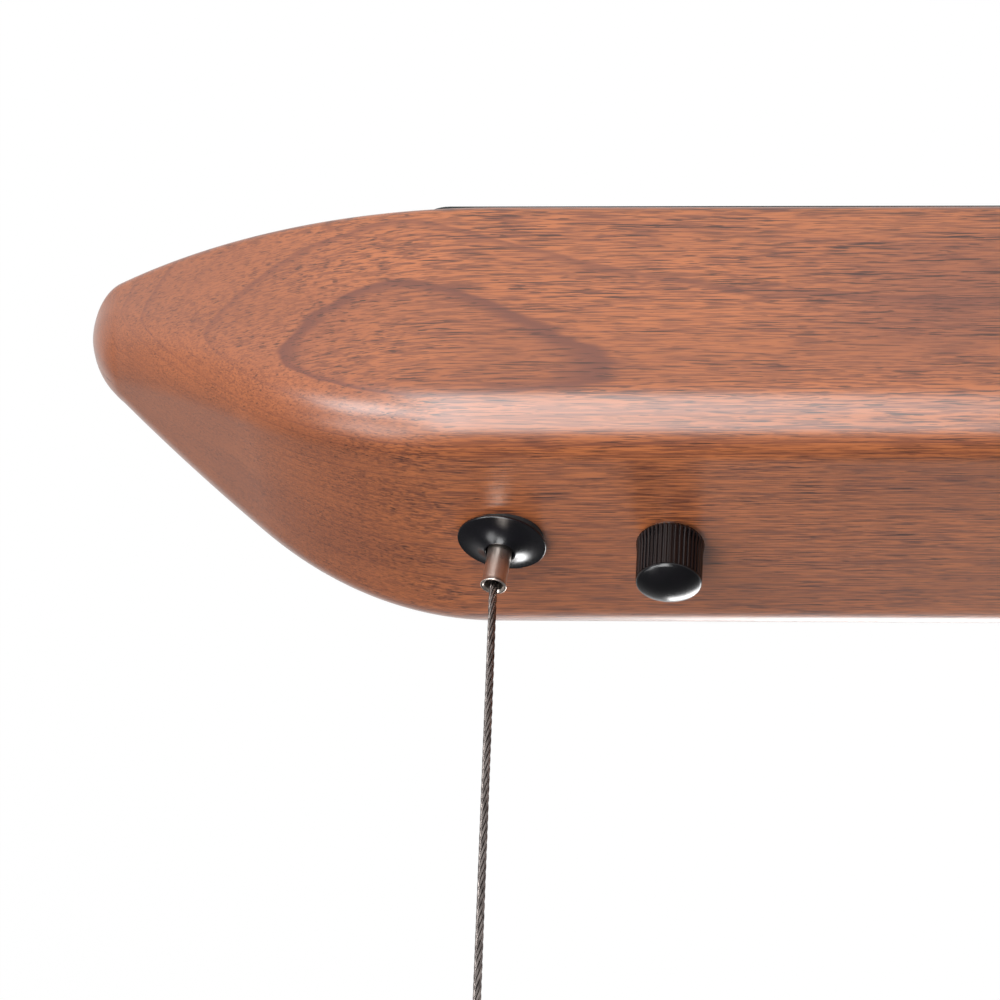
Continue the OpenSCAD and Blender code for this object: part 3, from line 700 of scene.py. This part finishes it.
def make_springs(finishes):
    """The coil under each ball carrier, made at rest. On the lamp, a push on the plunger presses it together."""
    tree = laid_wire("coil_spring", finishes["spring_steel"], 1)
    length = SPRING_TOP - SPRING_FOOT
    lay = (length - 2 * SPRING_WIRE) / SPRING_TURNS
    sizes = {"Wire": SPRING_WIRE, "Orbit": SPRING_RADIUS, "Lay": lay, "Step": 0.15 * MM}
    for name, side in SIDES.items():
        place = grip_place(side)
        ends = (SPRING_FOOT + SPRING_WIRE, SPRING_TOP - SPRING_WIRE)
        foot, top = [place @ Vector((0, 0, h)) for h in ends]
        spring = smooth(grow(f"coil_spring_{name}", tree, sizes, [foot, top], [(0, 1)]), 60)
        dress(spring, "lamp", "spring_steel", f"gripper_spring_{name}")
        joint = f"{name}_release"
        keep = 1 - travel_of(joint) / (SPRING_TURNS * lay)
        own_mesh(spring)


# Walnut bar

def plan_width(size, s, bow_end):
    """Half the bar's width at a distance s from its tip: a round nose, then a long bow."""
    nose_end = NOSE_RADIUS + NOSE_RADIUS * (NOSE_RADIUS - bow_end) / (BOW_RADIUS - NOSE_RADIUS)
    nose = (size["Nose"] * size["Nose"] - (size["Nose"] - s) * (size["Nose"] - s)).root()
    bow = (size["Bow"] * size["Bow"] - (bow_end - s) * (bow_end - s)).root()
    return (s < nose_end).pick(nose, bow + (size["Half Width"] - size["Bow"]))


def top_height(size, s):
    """The top's height at a distance s from the tip: a round tip, a straight rake, a knee, then level."""
    slope = tan(RAKE)
    knee = (HEIGHT - NOSE_HEIGHT) / slope
    blend_reach = RAKE_RADIUS * tan(RAKE / 2)
    blend_start = knee - blend_reach * cos(RAKE)
    blend_end = knee + blend_reach
    tip_height = NOSE_HEIGHT + TIP_RADIUS * slope - TIP_RADIUS / cos(RAKE)
    tip_end = TIP_RADIUS - TIP_RADIUS * sin(RAKE)
    tip = (TIP_RADIUS ** 2 - (TIP_RADIUS - s) * (TIP_RADIUS - s)).root() + tip_height
    ramp = s * slope + size["Nose Height"]
    knee_arc = size["Rake Blend"] * size["Rake Blend"] - (blend_end - s) * (blend_end - s)
    crest = knee_arc.root() + (size["Height"] - size["Rake Blend"])
    inner = (s < blend_start).pick(ramp, (s < blend_end).pick(crest, size["Height"]))
    return (s < tip_end).pick(tip, inner)


def keel_height(s):
    """The underside's height at a distance s from the tip: a small round, then level."""
    keel = UNDER_RADIUS - (UNDER_RADIUS ** 2 - (UNDER_RADIUS - s) * (UNDER_RADIUS - s)).root()
    return (s < UNDER_RADIUS).pick(keel, s * 0.0)


def bar_shape(material):
    """The bar as one skin: its plan and side outlines are arcs and lines of the distance from the tip."""
    labels = ["Half Length", "Half Width", "Height", "Edge", "Rim"]
    labels += ["Bow", "Nose", "Nose Height", "Rake Blend"]
    tree, size, _ = new_shape("walnut_bar", labels)
    rows, steps = 240, 12
    columns = 4 * (steps + 3)
    inputs = {"Size X": 1.0, "Size Y": 1.0, "Vertices X": rows, "Vertices Y": columns + 1}
    grid = add(tree, "GeometryNodeMeshGrid", inputs)
    across, round_, _ = split(tree, add(tree, "GeometryNodeInputPosition").outputs[0])
    row = ((across + 0.5) * (rows - 1.0)).round()
    end_row = row.least((rows - 1.0) - row)
    bow_end = NOSE_RADIUS + sqrt((BOW_RADIUS - NOSE_RADIUS) ** 2 - (BOW_RADIUS - HALF_WIDTH) ** 2)
    s = (1.0 - (end_row * (pi / 2 / (rows / 2 - 1))).cosine()) * bow_end
    x = (row > (rows - 1) / 2).pick(1.0, -1.0) * (size["Half Length"] - s)
    width = plan_width(size, s, bow_end)
    top = top_height(size, s)
    under = keel_height(s)
    tall = top - under
    edge = size["Edge"].least(width * 0.9).least(tall * 0.6)
    rim = size["Rim"].least(width * 0.5).least(tall * 0.3)
    column = ((round_ + 0.5) * float(columns)).round() % float(columns)
    quarter = (column / (steps + 3.0) + 0.001).floor()
    step = column - quarter * (steps + 3.0) - 1.0
    held = step.most(0.0).least(float(steps))
    angle = (quarter - 1.0 + held / float(steps)) * (pi / 2)
    upper = (quarter - 1.5).size() < 1.0
    right = (quarter < 1.5).pick(1.0, -1.0)
    radius = upper.pick(edge, rim)
    spill = (step - held) * radius * 0.12
    y = right * (width - radius) + radius * angle.cosine() - spill * angle.sine()
    z = upper.pick(top - radius, under + radius) + radius * angle.sine() + spill * angle.cosine() + RIM
    inputs = {"Geometry": grid.outputs[0], "Position": join(tree, x, y, z)}
    skin = add(tree, "GeometryNodeSetPosition", inputs)
    sealed = add(tree, "GeometryNodeMergeByDistance", {"Geometry": skin.outputs[0], "Distance": 1e-6})
    outward = add(tree, "GeometryNodeFlipFaces", {"Mesh": sealed.outputs[0]})
    inputs = {"Mesh 1": outward.outputs[0]}
    hollow = add(tree, "GeometryNodeMeshBoolean", inputs, operation="DIFFERENCE", solver="EXACT")
    for cutter in bar_cutters(tree):
        tree.links.new(cutter, hollow.inputs["Mesh 2"])
    return close_shape(tree, hollow.outputs[0], material)


def bar_cutters(tree):
    """The hollow for the light and the holes for the grippers, the dimmer and the cord gland."""
    tall = HEIGHT - ROOF + MM
    inputs = {"Size": (2 * (HALF_LENGTH - CAVITY_IN), 2 * (HALF_WIDTH - WALL), tall)}
    box = add(tree, "GeometryNodeMeshCube", inputs)
    inputs = {"Geometry": box.outputs[0], "Translation": (0, 0, RIM - MM + tall / 2)}
    cuts = [add(tree, "GeometryNodeTransform", inputs)]
    holes = [(0, 0, GLAND_HOLE), (KNOB.x, 0, DIMMER_HOLE)]
    holes += [(side * GRIP_X, side * GRIP_TILT, GRIP_HOLE) for side in SIDES.values()]
    for x, lean, radius in holes:
        inputs = {"Vertices": 64, "Radius": radius, "Depth": 3 * ROOF}
        rod = add(tree, "GeometryNodeMeshCylinder", inputs)
        inputs = {"Geometry": rod.outputs[0], "Translation": (x, 0, TOP), "Rotation": (0, lean, 0)}
        cuts.append(add(tree, "GeometryNodeTransform", inputs))
    inputs = {"Vertices": 64, "Radius": POCKET_RADIUS, "Depth": ROOF}
    pocket = add(tree, "GeometryNodeMeshCylinder", inputs)
    place = (KNOB.x, 0, TOP - POCKET_ROOF - ROOF / 2)
    cuts.append(add(tree, "GeometryNodeTransform", {"Geometry": pocket.outputs[0], "Translation": place}))
    return [cut.outputs[0] for cut in cuts]


def make_bar(finishes):
    """The walnut bar, hollow, with its holes."""
    sizes = {
        "Half Length": HALF_LENGTH - TIP_FLAT,
        "Half Width": HALF_WIDTH,
        "Height": HEIGHT,
        "Edge": EDGE_RADIUS,
        "Rim": RIM_RADIUS,
        "Bow": BOW_RADIUS,
        "Nose": NOSE_RADIUS,
        "Nose Height": NOSE_HEIGHT,
        "Rake Blend": RAKE_RADIUS,
    }
    bar = smooth(grow("walnut_bar", bar_shape(finishes["walnut"]), sizes), 30)
    dress(bar, "lamp", "walnut", "walnut_body")


# Grippers

def make_grippers(finishes):
    """On each side: a trumpet flange and a plunger tube with a rolled lip, both leaning outwards."""
    rim, edge = 0.5 * MM, 0.12 * MM
    reach = FLANGE_RADIUS - 0.1 * MM
    rise = FLANGE_HEIGHT - rim
    sweep = ((reach - NECK_RADIUS) ** 2 + rise ** 2) / (2 * rise)
    close = -90 - degrees(atan2(reach - NECK_RADIUS, sweep - rise))
    bore = NECK_RADIUS - 0.25 * MM
    hole, floor = 4.55 * MM, 0.7 * MM
    low, high = FLANGE_LIFT, FLANGE_LIFT + FLANGE_HEIGHT
    trumpet = [(hole, low), (FLANGE_RADIUS - edge, low), (FLANGE_RADIUS, low + edge)]
    trumpet += [(FLANGE_RADIUS, low + rim - edge), (FLANGE_RADIUS - edge / 2, low + rim - edge / 4)]
    trumpet += arc(reach, low + rim + sweep, sweep, -90, close, 28)
    trumpet += [(NECK_RADIUS - 0.08 * MM, high), (bore + 0.05 * MM, high), (bore, high - 0.06 * MM)]
    trumpet += [(bore, low + floor), (hole, low + floor)]
    lip, foot, wide = 2.375 * MM, -8.95 * MM, 2.65 * MM
    tube = [(PLUNGER_BORE, foot), (wide, foot), (wide, foot + 0.75 * MM), (PLUNGER_RADIUS, foot + 0.75 * MM)]
    tube += [(PLUNGER_RADIUS, MOUTH - 0.9 * MM)]
    tube += [(PLUNGER_RADIUS + 0.04 * MM, MOUTH - 0.62 * MM), (lip - 0.04 * MM, MOUTH - 0.42 * MM)]
    tube += arc(lip - 0.14 * MM, MOUTH - 0.2 * MM, 0.14 * MM, -20, 90, 6)
    tube += [(PLUNGER_BORE + 0.3 * MM, MOUTH - 0.1 * MM), (PLUNGER_BORE, MOUTH - 0.45 * MM)]
    for name, side in SIDES.items():
        place = grip_place(side)
        flange = lathe(f"trumpet_flange_{name}", trumpet, finishes["black_metal"], place)
        dress(flange, "lamp", "black_metal", f"gripper_flange_{name}")
        plunger = lathe(f"plunger_tube_{name}", tube, finishes["nickel"], place)
        dress(plunger, f"{name}_plunger", "nickel", f"plunger_{name}")


# Knob

def rib_shape(material):
    """Ribs round a knob: copies of one path, each a thin tube."""
    tree, size, path = new_shape("knob_ribs", ["Count", "Rib"])
    line = add(tree, "GeometryNodeMeshToCurve", {"Mesh": path})
    rib = sweep_tube(tree, line.outputs[0], size["Rib"], 10)
    points = add(tree, "GeometryNodeMeshLine", {"Count": size["Count"]}, mode="OFFSET", count_mode="TOTAL")
    points.inputs["Offset"].default_value = (0, 0, 0)
    index = Field(tree, add(tree, "GeometryNodeInputIndex").outputs[0])
    turn = join(tree, 0.0, 0.0, index / size["Count"] * (2 * pi))
    inputs = {"Points": points.outputs[0], "Instance": rib, "Rotation": turn}
    ribs = add(tree, "GeometryNodeInstanceOnPoints", inputs)
    return close_shape(tree, ribs.outputs[0], material)


def make_knob(finishes):
    """A gloss black knob: a ribbed side with a flared foot, a round shoulder and a low crown."""
    material = finishes["black_gloss"]
    low, foot, shoulder, crown = 0.5 * MM, 1.1 * MM, 10 * MM, 1.8 * MM
    root, rib, edge = KNOB_RADIUS - 0.28 * MM, 0.3 * MM, 0.7 * MM
    flare = KNOB_FLARE - foot
    ball = (KNOB_RADIUS ** 2 + crown ** 2) / (2 * crown)
    middle = shoulder + crown - ball
    inset = KNOB_RADIUS - 0.05 * MM - edge
    turn = acos(inset / (ball - edge))
    brow = middle + (ball - edge) * sin(turn)
    outline = [(5 * MM, 3 * MM), (5 * MM, low)] + arc(flare, low + foot, foot, -90, -56, 5)
    outline += [(root, brow - 0.35 * MM)] + arc(inset, brow, edge, 0, degrees(turn), 8)
    outline += arc(0, middle, ball, degrees(turn), 90, 32)[1:-1]
    outline += [(0, shoulder + crown), (0, 3 * MM)]
    place = Matrix.Translation((KNOB.x, 0, TOP))
    knob = lathe("ribbed_knob", outline, material, place, 192)
    path = arc(flare, low + foot, foot - rib, -75, 0, 8)
    path += [(KNOB_RADIUS - rib, low + foot + 1.8 * MM), (KNOB_RADIUS - rib, brow - 0.1 * MM)]
    edges = [(i, i + 1) for i in range(len(path) - 1)]
    sizes = {"Count": RIBS, "Rib": rib}
    ribs = grow("knob_ribs", rib_shape(material), sizes, [(r, 0, h) for r, h in path], edges)
    ribs.data.transform(place)
    dress(merge(knob, ribs), "dimmer", "black_gloss", "knob")


# Ceiling cups and cord gland

def make_cups(finishes):
    """At each end: a plate for the ceiling screw, and the cup over it that holds the cable's ball."""
    plate = [(2.25, 0), (11, 0), (11, -2.5), (7.8, -2.5), (7.8, -9), (4.6, -9), (4.6, -4.5), (2.25, -4.5)]
    cup = [(7.85, -2.55), (10.7, -2.55), (11, -2.85), (11, -21.9)]
    cup += arc(7.5, -22.5, 3.5, 0, -84, 14)
    cup += [(3.9, -25.98), (3.6, -25.7), (1.9, -22.41), (1.9, -21.41)]
    cup += [(6.4, -16.91), (6.4, -10.5), (7.85, -10.5)]
    for name in SIDES:
        low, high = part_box(f"ceiling_cap_{name}")
        place = Matrix.Translation(((low.x + high.x) / 2, 0, 0))
        base = lathe(f"ceiling_plate_{name}", millimetres(plate), finishes["zinc_steel"], place)
        dress(base, "ceiling", "zinc_steel", f"ceiling_base_{name}")
        shell = lathe(f"ceiling_cup_{name}", millimetres(cup), finishes["black_metal"], place)
        dress(shell, "ceiling", "black_metal", f"ceiling_cap_{name}")


def make_gland(finishes):
    """The cord gland at the bar's middle, with its rubber bush."""
    body = [(4, -19), (5, -19), (5, 0.02), (8.8, 0.02), (9, 0.2), (9, 1.1), (8.9, 1.3), (6.6, 3.6)]
    body += [(6.2, 4.1), (6.2, 6.7), (5.9, 7), (4, 7)]
    place = Matrix.Translation((0, 0, TOP))
    gland = lathe("cord_gland", millimetres(body), finishes["black_metal"], place)
    dress(gland, "lamp", "black_metal", "gland_body")
    bush = [(2.75, -19), (3.97, -19), (3.97, 7.05), (5.1, 7.05), (5.2, 7.15)]
    bush += arc(4.3, 7.45, 0.8, 10, 90, 6) + [(3.2, 8.2), (2.75, 7.8)]
    grommet = lathe("cord_grommet", millimetres(bush), finishes["rubber"], place)
    dress(grommet, "lamp", "rubber", "gland_bush")


# Making

finishes = make_materials()
aim_camera()
make_cables(finishes)
make_springs(finishes)
set_room()
lay_floor()
set_lamps()
make_bar(finishes)
make_grippers(finishes)
make_knob(finishes)
make_cups(finishes)
make_gland(finishes)
for part in frame["record"]["subparts"]:
    node = frame["nodes"][part["node"]]
    node.data.materials.clear()
    node.data.materials.append(finishes[part["material_slot"]])
